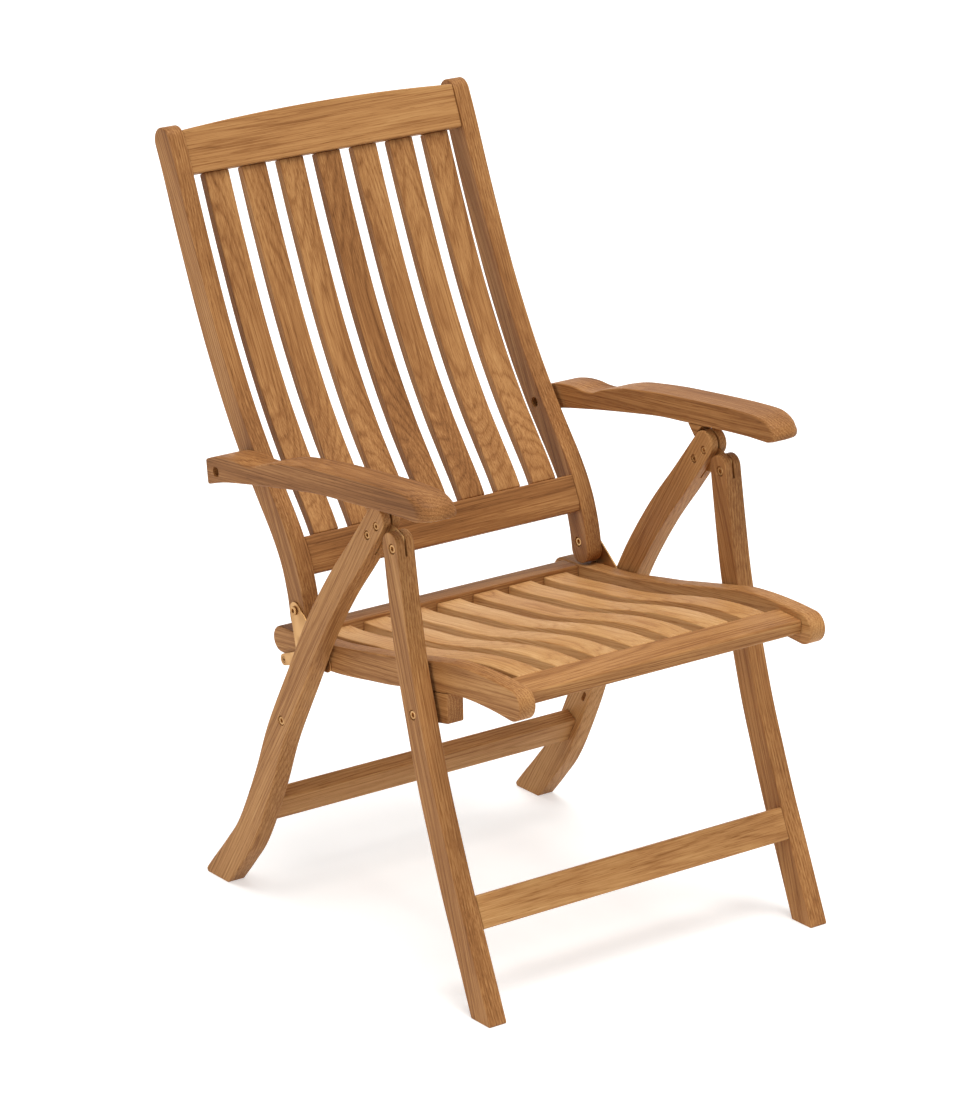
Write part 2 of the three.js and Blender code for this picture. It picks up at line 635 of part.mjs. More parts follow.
// Arms with a rounded nose, their bolts, and the blocks that rest on the rear legs' tops
const armOutline = [
  ...curveThrough(armTopShares).getSpacedPoints(26), ...curveThrough(armUnderShares).getSpacedPoints(10),
];
const armFront = Math.min(...armOutline.map((point) => point.x));
const armRear = Math.max(...armOutline.map((point) => point.x));
function armPlan(side) {
  const corner = (x, y, radius) => [new THREE.Vector2(side * x, y), radius];
  const outline = band([
    corner(armInner + armInnerNoseRadius, armFront + armInnerNoseRadius, armInnerNoseRadius),
    corner(armOuter - armOuterNoseRadius, armFront + armOuterNoseRadius, armOuterNoseRadius),
    corner(armInner, armRear + overrun, 0), corner(armOuter, armRear + overrun, 0),
  ]);
  const geometry = new THREE.ExtrudeGeometry(new THREE.Shape(outline), { depth: height, bevelEnabled: false });
  return solidOf(geometry);
}
const armRoom = armOutline.map((point) => point.clone().addScaledVector(up, -clearance));
const legSide = leftOf(rearLegDown);
const armBlockRest = rearLegTop.clone().addScaledVector(legSide, rearLegTopWidth / 2 + armBlockPlay);
const armBlockOutline = clipped(armBlockShares.map(at), armBlockRest, legSide);
for (const [suffix, side] of sides) {
  const arm = slab(armOutline, armInner, armOuter, side).intersect(armPlan(side))
    .subtract(boreFor(armPivot, armInner, armOuter, shankRadius, side))
    .subtract(headSeat(armPivot, armOuter, -1, headRadius, side, armBoltRecess));
  const block = slab(armBlockOutline, legInner + armBlockInset, legOuter - armBlockInset, side)
    .subtract(slab(armRoom, legInner, legOuter, side));
  const [start, end] = seated(railInner, armOuter, armBoltRecess);
  add(arms, `arm_${suffix}`, arm, teak());
  add(arms, `arm_block_${suffix}`, block, teak());
  add(arms, `arm_bolt_${suffix}`, pin(armPivot, start, [[headRadius, start + headThickness],
    [shankRadius, railOuter + clearance], [spacerRadius, armInner - clearance],
    [shankRadius, end - headThickness], [headRadius, end]], side), brass());
}

// The chair stands centred on its own outline
const extent = new THREE.Box3().setFromObject(chair);
chair.position.y = -(extent.min.y + extent.max.y) / 2;

export default chair;
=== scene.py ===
# %% [markdown]
# # A folding teak armchair
# This lesson dresses a folding garden armchair: curved teak boards, slats, and brass fittings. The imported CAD
# model gives the place of every board and pivot. Each board is made again here with eased edges and smooth
# curves, because the CAD solids are coarse and sharp, and light on an edge is what tells wood from card.

# %% Load the frame
import json
import math
import bpy
import numpy as np
from mathutils import Matrix, Vector


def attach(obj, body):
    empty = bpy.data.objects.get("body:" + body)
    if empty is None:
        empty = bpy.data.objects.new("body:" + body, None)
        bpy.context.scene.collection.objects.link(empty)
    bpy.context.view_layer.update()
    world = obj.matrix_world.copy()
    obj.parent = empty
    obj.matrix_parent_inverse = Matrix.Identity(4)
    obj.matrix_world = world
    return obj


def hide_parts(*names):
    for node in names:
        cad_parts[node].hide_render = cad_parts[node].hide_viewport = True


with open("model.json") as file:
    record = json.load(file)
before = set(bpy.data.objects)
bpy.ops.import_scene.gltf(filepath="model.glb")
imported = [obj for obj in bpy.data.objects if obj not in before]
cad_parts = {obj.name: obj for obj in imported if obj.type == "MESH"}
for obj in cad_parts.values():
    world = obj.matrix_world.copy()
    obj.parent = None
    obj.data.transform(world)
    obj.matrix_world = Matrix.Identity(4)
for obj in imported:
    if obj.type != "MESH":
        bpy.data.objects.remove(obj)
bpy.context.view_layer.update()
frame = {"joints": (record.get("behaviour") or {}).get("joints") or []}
scene = bpy.context.scene

# %% [markdown]
# The chair is drawn in its side view, in millimetres: y runs from the front foot's toe to the rear, z runs
# up. Places are kept in ten-thousandths of the chair's height, so that one size scales them all. The CAD
# model stands centred, so the hinge between the legs tells how far the side view is moved along y.

# %% Overall sizes and the side view's place
height = 1070.0
leg_spread = 577.0
unit = height / 10000
hinge = np.array([1967, 5734]) * unit
hinge_joint = next(joint for joint in frame["joints"] if joint["name"] == "leg_fold")
shift = np.array([0.0, hinge_joint["pos_m"][1] * 1000 - hinge[0], 0.0])
print("side view moved along y by", round(float(shift[1]), 2), "mm")

# %% [markdown]
# A long lens was used: the near and the far side look almost the same size. The camera's place and turn come
# from points that are the same on the chair's two sides, such as feet and bolts.

# %% Camera
azimuth, elevation, roll = (math.radians(angle) for angle in (-35.36, 18.39, -0.96))
camera_place = np.array([-3485.7, -4495.1, 2487.6]) + shift
picture_size, focal_pixels = (960, 1120), 4566.5
outward = Vector((math.sin(azimuth) * math.cos(elevation), -math.cos(azimuth) * math.cos(elevation),
                  math.sin(elevation)))
level = Vector((math.cos(azimuth), math.sin(azimuth), 0.0))
rise = outward.cross(level)
rightward = level * math.cos(roll) + rise * math.sin(roll)
upward = rise * math.cos(roll) - level * math.sin(roll)
camera_data = bpy.data.cameras.new("camera")
camera_data.sensor_width = 36.0
camera_data.lens = camera_data.sensor_width * focal_pixels / max(picture_size)
camera = bpy.data.objects.new("camera", camera_data)
camera.matrix_world = Matrix.Translation(camera_place / 1000) @ Matrix(
    (rightward, upward, outward)).transposed().to_4x4()
scene.collection.objects.link(camera)
scene.camera = camera
print("lens in mm:", round(camera_data.lens, 1))

# %% [markdown]
# A curved board follows a centre line. The line is a Catmull-Rom curve: it passes through every point, and at
# each point it runs parallel to the chord between the point's two neighbours. It is then walked at even
# distances, so that a share of the board's length is a place on the board.

# %% Curves in the side view


def curve_through(places, count=1200):
    """Points at even distances along the curve. Between points 1 and 2 it is the cubic in t that starts at 1
    with half the chord 0 to 2 as its speed, and ends at 2 with half the chord 1 to 3."""
    point = np.array(places) * unit
    span = len(point) - 1
    t = np.linspace(0, span, count)
    i = np.minimum(t.astype(int), span - 1)
    t = (t - i)[:, None]
    before, start, end, after = (point[np.clip(i + step, 0, span)] for step in (-1, 0, 1, 2))
    leave, arrive = (end - before) / 2, (after - start) / 2
    line = (2 * start - 2 * end + leave + arrive) * t ** 3 + (
        3 * end - 3 * start - 2 * leave - arrive) * t ** 2 + leave * t + start
    walked = np.concatenate([[0], np.cumsum(np.linalg.norm(np.diff(line, axis=0), axis=1))])
    even = np.linspace(0, walked[-1], count)
    return np.stack([np.interp(even, walked, line[:, k]) for k in (0, 1)], axis=1)


def on_line(line, share):
    """The point and the direction of the line at shares of its length."""
    place = np.asarray(share) * (len(line) - 1)
    course = np.gradient(line, axis=0)
    course /= np.linalg.norm(course, axis=1, keepdims=True)
    return [np.stack([np.interp(place, np.arange(len(line)), table[:, k]) for k in (0, 1)], axis=-1)
            for table in (line, course)]


def left_of(direction):
    """The direction turned a quarter to the left."""
    return np.stack([-direction[..., 1], direction[..., 0]], axis=-1)


rear_leg_line = curve_through([
    [2318, 6019], [2804, 5430], [3290, 4860], [3776, 4178], [4187, 3467], [4729, 2523], [5084, 1729],
    [5514, 925], [5879, 477], [6234, 93], [6449, -150]])
front_leg_line = curve_through([
    [2009, 5776], [1909, 5093], [1775, 4318], [1584, 3598], [1355, 2804], [1128, 2168], [880, 1514],
    [628, 916], [252, 0], [158, -234]])
stile_line = curve_through([
    [7496, 9794], [7337, 9421], [6988, 8542], [6524, 7486], [6069, 6626], [5670, 6000], [5356, 5579],
    [5015, 5131], [4797, 4757], [4664, 4364], [4608, 4047]])
seat_rail_line = curve_through([
    [5028, 3649], [4673, 3659], [4168, 3692], [3776, 3722], [3374, 3779], [3047, 3835], [2598, 3909],
    [2336, 3963], [1841, 4062], [1495, 4131], [1159, 4195], [841, 4221], [561, 4228], [280, 4224],
    [-42, 4204]])
print("rear leg is", round(float(np.linalg.norm(np.diff(rear_leg_line, axis=0), axis=1).sum())), "mm long")

# %% [markdown]
# Seen from the side, a board is the strip on both sides of its centre line. Its width may taper, and an end
# is either a half circle or a straight cut. Cross boards are plain sections, and plates are tight bands round
# their bolts.

# %% Outlines


def strip(line, start_width, end_width, round_end=True):
    """Outline of a tapered board: the line moved both ways by half the width, with half circles as ends."""
    share = np.linspace(0, 1, 90)
    centre, course = on_line(line, share)
    side = left_of(course) * (start_width + (end_width - start_width) * share)[:, None] / 2
    turn = np.linspace(0, math.pi, 25)[1:-1, None]

    def half_circle(middle, arm):
        return middle + arm * np.cos(turn) - left_of(arm) * np.sin(turn)
    end = [half_circle(centre[-1], side[-1])] * round_end
    return np.concatenate([centre + side, *end, (centre - side)[::-1], half_circle(centre[0], -side[0])])


def section(centre, direction, along, across):
    """Outline of a rectangle whose long side follows the direction."""
    u, v = direction * along / 2, left_of(direction) * across / 2
    return centre + np.array([[-1, -1], [1, -1], [1, 1], [-1, 1]]) @ np.array([u, v])


def band(circles):
    """Outline of a tight band: in each direction, the point of the circles that lies furthest that way."""
    centre = np.array([place for place, radius in circles])
    radius = np.array([radius for place, radius in circles])
    turn = np.linspace(0, 2 * math.pi, 144, endpoint=False)
    way = np.stack([np.cos(turn), np.sin(turn)], axis=1)
    furthest = np.argmax(way @ centre.T + radius, axis=1)
    outline = centre[furthest] + way * radius[furthest, None]
    apart = np.linalg.norm(outline - np.roll(outline, 1, axis=0), axis=1) > 1e-4
    return outline[apart]


def clipped(outline, point, direction):
    """What is left of an outline on the side of a line that the direction points to."""
    after = np.roll(outline, -1, axis=0)
    a, b = (outline - point) @ direction, (after - point) @ direction
    meeting = outline + (after - outline) * (a / np.where(a == b, 1.0, a - b))[:, None]
    both = np.stack([outline, meeting], axis=1).reshape(-1, 2)
    return both[np.stack([a >= 0, a * b < 0], axis=1).reshape(-1)]


def anticlockwise(outline):
    """The outline, turned round if it runs clockwise, where the shoelace sum of its area is negative."""
    x, y = outline.T
    return outline[::-1] if np.sum(x * np.roll(y, -1) - y * np.roll(x, -1)) < 0 else outline


sharp_corner, arc_points = math.radians(20), 7


def eased(outline, radius):
    """Outline with its sharp corners rounded: each becomes the arc that touches both of its sides, and points
    that would crowd it are left out."""
    def turning(points):
        come = points - np.roll(points, 1, axis=0)
        come /= np.linalg.norm(come, axis=1, keepdims=True)
        leave = np.roll(come, -1, axis=0)
        return come, leave, np.arctan2(come[:, 0] * leave[:, 1] - come[:, 1] * leave[:, 0],
                                       np.sum(come * leave, axis=1))
    outline = anticlockwise(outline)
    corner = np.abs(turning(outline)[2]) > sharp_corner
    if corner.any():
        gap = np.linalg.norm(outline[:, None] - outline[None, corner], axis=2).min(axis=1)
        outline = outline[corner | (gap > 2.2 * radius)]
    come, leave, turn = turning(outline)
    corner = np.abs(turn) > sharp_corner
    bend = np.where(corner, turn, 1.0)
    inward = np.sign(bend)[:, None] * np.stack([left_of(come), left_of(leave)])
    reach = radius * np.abs(np.tan(bend / 2)) * corner
    middle = outline - come * reach[:, None] + inward[0] * (radius * corner)[:, None]
    s = np.linspace(0, 1, arc_points)[None, :, None]
    size = np.abs(bend)[:, None, None]
    arm = (np.sin((1 - s) * size) * inward[0][:, None] + np.sin(s * size) * inward[1][:, None]) / np.sin(size)
    arcs = middle[:, None] - arm * (radius * corner)[:, None, None]
    return arcs[corner[:, None] | (np.arange(arc_points) == 0)[None, :]]


print("outline of a plate round two bolts:", len(band([([0, 0], 9), ([30, 0], 7)])), "points")

# %% [markdown]
# A board is its outline carried across the chair. At both faces the outline draws in along a quarter circle,
# which is the eased edge, or arris, that a maker sands on every teak board. A narrow ring inside the arris
# keeps each face flat in the light. One grid of points does it all: one parameter goes round the outline, the
# other goes across the board.

# %% Boards


def new_piece(name, points, faces):
    """A mesh object from points in mm of the side view's frame."""
    mesh = bpy.data.meshes.new(name)
    mesh.from_pydata((points + shift) / 1000, [], faces)
    mesh.shade_smooth()
    piece = bpy.data.objects.new(name, mesh)
    scene.collection.objects.link(piece)
    return piece


def skin(name, rows):
    """Closes a grid of rows, each a ring of points, with quads between the rows and a face at each end."""
    count, around = rows.shape[:2]
    here = np.arange(count - 1)[:, None] * around + np.arange(around)[None, :]
    ahead = np.arange(count - 1)[:, None] * around + (np.arange(around)[None, :] + 1) % around
    quads = np.stack([here, ahead, ahead + around, here + around], axis=-1).reshape(-1, 4)
    last = (count - 1) * around + np.arange(around)
    faces = quads.tolist() + [np.arange(around)[::-1].tolist(), last.tolist()]
    return new_piece(name, rows.reshape(-1, 3), faces)


def drawn_in(outline, inset):
    """The outline moved inwards, one row for each inset. A point moves along the mean of its sides' normals,
    lengthened so that both sides move by the inset."""
    come = outline - np.roll(outline, 1, axis=0)
    come /= np.linalg.norm(come, axis=1, keepdims=True)
    first, second = left_of(come), left_of(np.roll(come, -1, axis=0))
    normal = (first + second) / (1 + np.sum(first * second, axis=1))[:, None]
    return outline[None] + normal[None] * inset[:, None, None]


face_ring = 0.35


def arris_stations(low, high, arris):
    """Distances across a board and how far its outline draws in at each: a quarter circle at both faces."""
    turn = np.linspace(0, math.pi / 2, 6)
    step = np.concatenate([[0], arris * (1 - np.cos(turn))])
    inset = np.concatenate([[arris + face_ring], arris * (1 - np.sin(turn))])
    return np.concatenate([low + step, (high - step)[::-1]]), np.concatenate([inset, inset[::-1]])


def board(name, outline, low, high, arris, corner=0.0):
    """A board: the side view's outline carried from low to high across the chair, with eased edges."""
    across, inset = arris_stations(low, high, arris)
    rings = drawn_in(eased(outline, max(corner, arris + face_ring + 0.1)), inset)
    x = np.broadcast_to(across[:, None, None], rings.shape[:2] + (1,))
    return skin(name, np.concatenate([x, rings], axis=2))


# %% [markdown]
# Bolts, screws, rods and their holes are turned on a lathe: a profile of radii is spun about an axis across
# the chair. The sockets for the key are rings whose radius follows a hexagon. A Boolean modifier takes the
# holes out of the wood.

# %% Turned fittings and cutting
sharp_edge, spokes = math.radians(34), 36


def turned(name, centre, profile, six_sided=()):
    """Spins a profile of (distance across, radius) about the centre. A ring in six_sided has the radius of a
    hexagon: its half width over the cosine of the angle from the nearest flat."""
    x, radius = np.array(profile, dtype=float).T
    turn = np.linspace(0, 2 * math.pi, spokes, endpoint=False)
    from_flat = (turn + math.pi / 6) % (math.pi / 3) - math.pi / 6
    hexagon = np.isin(np.arange(len(x)), six_sided)[:, None]
    ring = radius[:, None] / np.where(hexagon, np.cos(from_flat)[None, :], 1.0)
    rows = np.stack([np.broadcast_to(x[:, None], ring.shape), centre[0] + ring * np.cos(turn),
                     centre[1] + ring * np.sin(turn)], axis=-1)
    return skin(name, rows[::-1] if x[0] > x[-1] else rows)


def cut(piece, cutters, operation="DIFFERENCE"):
    """Takes each cutter out of the piece, or adds it, and makes the result the piece's own mesh."""
    for cutter in cutters:
        modifier = piece.modifiers.new(cutter.name, "BOOLEAN")
        modifier.object, modifier.operation, modifier.solver = cutter, operation, "EXACT"
    bpy.context.view_layer.update()
    mesh = bpy.data.meshes.new_from_object(piece.evaluated_get(bpy.context.evaluated_depsgraph_get()))
    piece.modifiers.clear()
    old, piece.data = piece.data, mesh
    bpy.data.meshes.remove(old)
    mesh.name = piece.name
    mesh.shade_smooth()
    for cutter in cutters:
        bpy.data.objects.remove(cutter)


# %% [markdown]
# Layers across the chair, from the outside in: the legs, a small gap, and then the seat's rails and the
# back's stiles in one layer. Brass links and brackets lie in the gap.

# %% Layers and pivots
leg_thickness, layer_gap, rail_thickness, plate_thickness, clearance = 28.0, 5.2, 26.0, 2.0, 0.3
arm_offset, arm_width = 1.5, 52.0
leg_outer = leg_spread / 2
leg_inner = leg_outer - leg_thickness
leg_middle = (leg_outer + leg_inner) / 2
rail_outer = leg_inner - layer_gap
rail_inner = rail_outer - rail_thickness
bracket_outer = rail_outer + clearance + plate_thickness
link_inner = bracket_outer + clearance
link_outer = link_inner + plate_thickness
arm_inner = leg_inner + arm_offset
arm_outer = arm_inner + arm_width
sides = (("right", -1), ("left", 1))
seat_pivot, link_foot, link_head, back_pivot, arm_pivot, *screws = (np.array(place) * unit for place in (
    [1598, 3673], [4598, 2720], [4378, 3589], [4640, 4154], [5589, 5888],
    [2308, 5939], [2509, 5776]))
up, floor_point = np.array([0.0, 1.0]), np.array([0.0, 0.0])


def layer(side, inner, outer):
    """The two faces of a layer on one side of the chair, in rising order."""
    return sorted((side * inner, side * outer))


print("legs", leg_inner, "to", leg_outer, "mm out; rails", round(rail_inner, 1), "to", round(rail_outer, 1))

# %% [markdown]
# A bolt here is a brass barrel with a head at one or both ends. Each head has a chamfered rim and a hexagon
# socket. A hole is wider than its barrel by the clearance. A head's seat is wider by a gap that shows as a
# thin dark ring, and has a small chamfer at the wood's face.

# %% Bolts and bores
bolt_size = shank, head, bolt_socket = 3.5, 6.5, 3.0
screw_size = screw_shank, screw_head, screw_socket = 2.5, 5.6, 2.4
head_thickness, head_recess, arm_bolt_recess, spacer_radius = 3.0, 0.9, 7.0, 8.0
broad_step, broad_rim, slim_rim, socket_depth, socket_lip = 5.0, 1.0, 0.5, 2.6, 0.3
seat_gap, seat_chamfer, proud, overshoot = 0.7, 0.5, 0.1, 6.0
shank_hole, screw_hole = shank + clearance, screw_shank + clearance
head_seat, screw_seat = head + seat_gap, screw_head + seat_gap
head_depth = head_recess + head_thickness + clearance
arm_bolt_depth = arm_bolt_recess + head_thickness + clearance


def bolt(name, centre, start, steps, side, sockets):
    """A stepped barrel; each step has its radius and the distance it ends at. sockets gives the half width of
    the hexagon at the start and at the end, or None for a plain end."""
    profile, low = [], start
    for radius, high in steps:
        rim = broad_rim if radius > broad_step else slim_rim
        profile += [(low, radius - rim), (low + rim, radius), (high - rim, radius), (high, radius - rim)]
        low = high
    first, last = ([] if half is None else [
        (face + inwards * socket_depth, 0.3), (face + inwards * socket_depth, half),
        (face + inwards * socket_lip, half), (face, half + socket_lip + 0.05)]
        for half, face, inwards in zip(sockets, (start, low), (1, -1)))
    profile = first + profile + last[::-1]
    six_sided = [1, 2, 3] * bool(first) + [len(profile) - step for step in (4, 3, 2)] * bool(last)
    return turned(name, centre, [(side * x, radius) for x, radius in profile], six_sided)


def drilled(centres, side, inner, outer, radius, inner_seat=None, outer_seat=None, depth=head_depth):
    """Cutters for bolts: at each centre a hole through the layers from inner to outer, and a head's seat at
    each face for which a radius is given."""
    cutters = []
    for centre in centres:
        cutters.append(turned("bore", centre, [
            (side * (inner - overshoot), radius), (side * (outer + overshoot), radius)]))
        for seat, face, inwards in ((inner_seat, side * inner, side), (outer_seat, side * outer, -side)):
            if seat:
                mouth = seat + seat_chamfer + proud
                cutters.append(turned("seat", centre, [
                    (face + inwards * depth, seat), (face + inwards * seat_chamfer, seat),
                    (face - inwards * proud, mouth), (face - inwards * overshoot, mouth)]))
    return cutters


print("a bolt head's seat is", head_depth, "mm deep, and", arm_bolt_depth, "mm at the arms")

# %% [markdown]
# Teak is sawn in straight planks, so its fibres run straight through a curved board and leave it where it
# bends away. Growth rings are shells round the tree's heart, the pith, which lies outside the board: they
# show as fine lines on one face and as tall arches on the other. So each board is given its own place in the
# tree. Two attributes carry that: where each point lies in the tree, in millimetres, and how light the board
# is, which holds painted light and shade for its kind as well as the board's own tone.

# %% The place of a board in the tree
tree = np.random.default_rng(1120)
fibre_tilt, tree_reach, pith_shift, pith_distance, tone_spread = 0.012, 4000, 28, (22, 75), 0.5


def grow(piece, along, thin, pith=None, tone=0.0):
    """Sets the attribute grain: a point's distance from the pith along the fibres, across them and through
    the thin side. All three are dot products with the point's place, so the grain is straight."""
    along, thin = (side_way(way) if len(way) == 2 else way for way in (along, thin))
    mesh = piece.data
    place = np.empty(len(mesh.vertices) * 3)
    mesh.vertices.foreach_get("co", place)
    place = place.reshape(-1, 3) * 1000
    middle = (place.min(axis=0) + place.max(axis=0)) / 2
    along = along + tree.normal(0, fibre_tilt, 3)
    along /= np.linalg.norm(along)
    thin = thin - along * (thin @ along)
    thin /= np.linalg.norm(thin)
    across = np.cross(thin, along)
    off = np.array([tree.uniform(-tree_reach, tree_reach), tree.uniform(-pith_shift, pith_shift),
                    tree.uniform(*pith_distance) * tree.choice([-1, 1])])
    if pith is not None:
        off[1:] = pith
    grain = (place - middle) @ np.stack([along, across, thin], axis=1) + off
    mesh.attributes.new("grain", "FLOAT_VECTOR", "POINT").data.foreach_set("vector", grain.ravel())
    # the board's lightness: its kind's tone with painted light and shade, plus a random spread of its own
    light = np.full(len(mesh.vertices), tree.normal(tone, tone_spread), dtype=np.float32)
    mesh.attributes.new("tone", "FLOAT", "POINT").data.foreach_set("value", light)


def side_way(direction):
    """A direction of the side view as a direction in space."""
    return np.array([0.0, direction[0], direction[1]])


# %% [markdown]
# Small helpers add shader nodes. Colours are written as hex values and turned to linear light.

# %% Shader helpers


def linear(code):
    """A hex colour as linear red, green, blue and 1: up to 0.04045 a channel is divided by 12.92, above that
    it plus 0.055 is divided by 1.055 and raised to 2.4."""
    channel = np.array([int(code[i:i + 2], 16) for i in (1, 3, 5)]) / 255
    light = np.where(channel <= 0.04045, channel / 12.92, ((channel + 0.055) / 1.055) ** 2.4)
    return (*light, 1.0)


def add_node(kind, inputs=None, **settings):
    """Adds a node to the tree called nodes and gives back its outputs. settings are its own properties;
    inputs are values, or sockets that are linked."""
    made = nodes.nodes.new("ShaderNode" + kind)
    for name, value in settings.items():
        setattr(made, name, value)
    for key, value in (inputs or {}).items():
        if isinstance(value, bpy.types.NodeSocket):
            nodes.links.new(value, made.inputs[key])
        else:
            made.inputs[key].default_value = value
    return made.outputs


def ramp(value, *stops):
    """The colour of a value, from stops of a place and a hex colour."""
    colour = add_node("ValToRGB", {0: value})[0]
    elements = colour.node.color_ramp.elements
    for place, code in stops[1:-1]:
        elements.new(place)
    for element, (place, code) in zip(elements, stops):
        element.position, element.color = place, linear(code)
    return colour


def new_material(name):
    """A material with an empty node tree."""
    material = bpy.data.materials.new(name)
    material.use_nodes = True
    material.node_tree.nodes.clear()
    return material


# %% [markdown]
# The wood is plantation teak, planed, sanded and left bare: a warm brown with fine darker lines where each
# year's growth starts, thin fibre streaks along the board, short dark pores, and a dull sheen. A year's
# growth is about 4 mm wide here. Real pores are 0.2 mm wide and too fine for the picture, so they are drawn
# about 0.9 mm wide and 26 mm long.

# %% Growth rings of the teak
teak = new_material("sanded_teak")
nodes = teak.node_tree
grain, tone = (add_node("Attribute", attribute_name=name) for name in ("grain", "tone"))
year_width, year_wobble, sway = 4.2, 1.3, 11


def vectors(operation, first, second):
    """One step of arithmetic on two vectors."""
    return add_node("VectorMath", {0: first, 1: second}, operation=operation)[0]


def sums(operation, first, second=0.0):
    """One step of arithmetic on two numbers."""
    return add_node("Math", {0: first, 1: second}, operation=operation)[0]


def stretched(detail, size, roughness=0.5):
    """Noise over the grain, with a cell of the given millimetres along, across and through the board."""
    place = vectors("MULTIPLY", grain["Vector"], [1 / s for s in size])
    return add_node("TexNoise", {
        "Vector": place, "Scale": 1.0, "Detail": detail, "Roughness": roughness})


wander = vectors("SUBTRACT", stretched(2.0, (260, 55, 55))["Color"], (0.5, 0.5, 0.5))
swayed = vectors("ADD", grain["Vector"], vectors("MULTIPLY", wander, (0, sway, sway)))
parts = add_node("SeparateXYZ", {0: swayed})
from_pith = sums("SQRT", sums("ADD", sums("POWER", parts[1], 2.0), sums("POWER", parts[2], 2.0)))
uneven = sums("MULTIPLY", stretched(1.0, (900, 16, 16))["Fac"], year_wobble)
season = sums("FRACT", sums("ADD", sums("DIVIDE", from_pith, year_width), uneven))
ring = ramp(season, (0.0, "#7E7E7E"), (0.05, "#6A6A6A"), (0.22, "#B8B8B8"), (0.70, "#D8D8D8"),
            (0.94, "#B0B0B0"), (1.0, "#7E7E7E"))
print("a year's growth is", year_width, "mm wide")

# %% Fibres, clouds, tone with painted light and shade, and pores of the teak
fibre = stretched(3.0, (160, 1.5, 1.5), roughness=0.6)["Fac"]
cloud = stretched(2.0, (420, 34, 34))["Fac"]
pore = add_node("MapRange", {
    "Value": stretched(1.0, (26, 0.9, 0.9))["Fac"], "From Min": 0.6, "From Max": 0.72})[0]
shade = 0.44
# the lightness attribute adds each board's tone and the painted light and shade set for its kind
for value, middle, weight in ((ring, 0.62, 0.34), (fibre, 0.5, 0.85), (cloud, 0.5, 0.6),
                              (tone["Fac"], 0.0, 0.09), (pore, 0.0, -0.2)):
    shade = sums("ADD", shade, sums("MULTIPLY", sums("SUBTRACT", value, middle), weight))
shade = sums("MINIMUM", sums("MAXIMUM", shade, 0.0), 1.0)
wood = ramp(shade, (0.0, "#6C4322"), (0.30, "#966539"), (0.52, "#B4824F"), (0.74, "#C4955F"),
            (1.0, "#D8AE7B"))
rough = add_node("MapRange", {"Value": shade, "To Min": 0.6, "To Max": 0.42})
relief = add_node("Bump", {"Height": shade, "Strength": 0.35, "Distance": 0.0006})
body = add_node("BsdfPrincipled", {
    "Base Color": wood, "Roughness": rough[0], "Normal": relief["Normal"], "IOR": 1.45,
    "Specular IOR Level": 0.18})
add_node("OutputMaterial", {"Surface": body[0]})

# %% [markdown]
# The fittings are brass: cut from sheet, or turned from bar, and tumbled until smooth. That gives a warm
# yellow metal with soft reflections. Handling and rain dull it in clouds a centimetre or two across.

# %% Tumbled brass
brass = new_material("tumbled_brass")
nodes = brass.node_tree
place = add_node("TexCoord")
dulling = add_node("TexNoise", {
    "Vector": place["Object"], "Scale": 60.0, "Detail": 0.0, "Roughness": 0.5})["Fac"]
metal = ramp(dulling, (0.30, "#A67C4C"), (0.62, "#BC9260"))
rough = add_node("MapRange", {"Value": dulling, "To Min": 0.48, "To Max": 0.34})
body = add_node("BsdfPrincipled", {
    "Base Color": metal, "Roughness": rough[0], "Metallic": 1.0})
add_node("OutputMaterial", {"Surface": body[0]})
print("materials:", teak.name, brass.name)

# %% [markdown]
# Each kind of board has its own lightness, partly the wood's own tone and partly painted light and shade: the
# seat's slats are the lightest, partly as painted light on their tops, which face the lamp; the stretchers are
# lighter as painted bounce light from the floor; the front legs are darker as painted shade; and the arms are
# the darkest. A kind that isn't named has 0.

# %% Hand a finished piece over
# lightness of each kind of board: part wood tone, part painted light and shade
kind_tone_and_painted_light = {"rear_leg": 0.4, "front_leg": -0.8, "front_stretcher": 1.2, "rear_stretcher": 1.4, "seat_slat": 3.2,
         "stile": -0.8, "top_rail": 0.3, "lower_rail": -0.8, "back_slat": -0.4, "arm": -1.5}
across_chair = np.array([1.0, 0.0, 0.0])


def hand_over(piece, node, rides_on, material):
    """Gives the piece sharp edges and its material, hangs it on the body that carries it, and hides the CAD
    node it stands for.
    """
    piece.data.set_sharp_from_angle(angle=sharp_edge)
    piece.data.materials.clear()
    piece.data.materials.append(material)
    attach(piece, rides_on)
    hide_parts(node)
    print("made", piece.name, "on", rides_on)


def wooden(piece, rides_on, along, thin, pith=None):
    """Finishes a teak board. Its kind is its name without the side or the number."""
    node = piece.name[:-5]
    grow(piece, along, thin, pith, kind_tone_and_painted_light.get(node, kind_tone_and_painted_light.get(node.rsplit("_", 1)[0], 0.0)))
    hand_over(piece, node, rides_on, teak)


def brazen(piece, rides_on):
    """Finishes a brass fitting."""
    hand_over(piece, piece.name[:-6], rides_on, brass)


# %% [markdown]
# Each pair of legs hangs on a brass hinge plate in a saw slot in both leg tops: two screws hold it to the
# rear leg, and a bolt lets the front leg turn on it. The legs were sawn from plank with their feet swept out,
# so the outline bends while the grain stays straight. A short blind slot is cut in each rear leg's inner
# face, below the stretcher's level.

